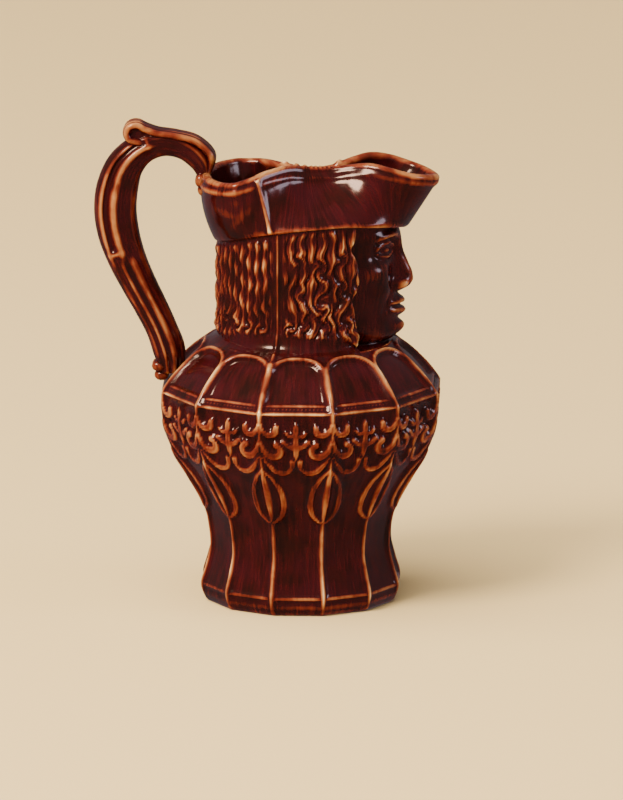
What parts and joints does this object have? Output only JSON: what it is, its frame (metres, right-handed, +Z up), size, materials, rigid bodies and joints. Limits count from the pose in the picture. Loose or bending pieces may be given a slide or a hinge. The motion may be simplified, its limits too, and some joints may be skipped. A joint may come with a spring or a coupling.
{
  "type": "toby jug",
  "caption": "Glazed pottery jug with a panelled many-sided body, a long-haired head in a cocked hat as its neck, mouth and spout, and a loop handle with a thumb scroll.",
  "frame": {"origin": "centre of the flat underside, on the axis of the panelled body", "axes": "+Z up the jug, +X towards the face and the spout, handle at -X"},
  "size_m": [0.1576, 0.1266, 0.2218],
  "materials": {
    "brown_glaze": "glossy treacle-brown lead glaze over buff pottery, amber where it thins on edges and near black where it pools"
  },
  "bodies": {
    "root": {"toby_jug": "brown_glaze"}
  },
  "joints": []
}
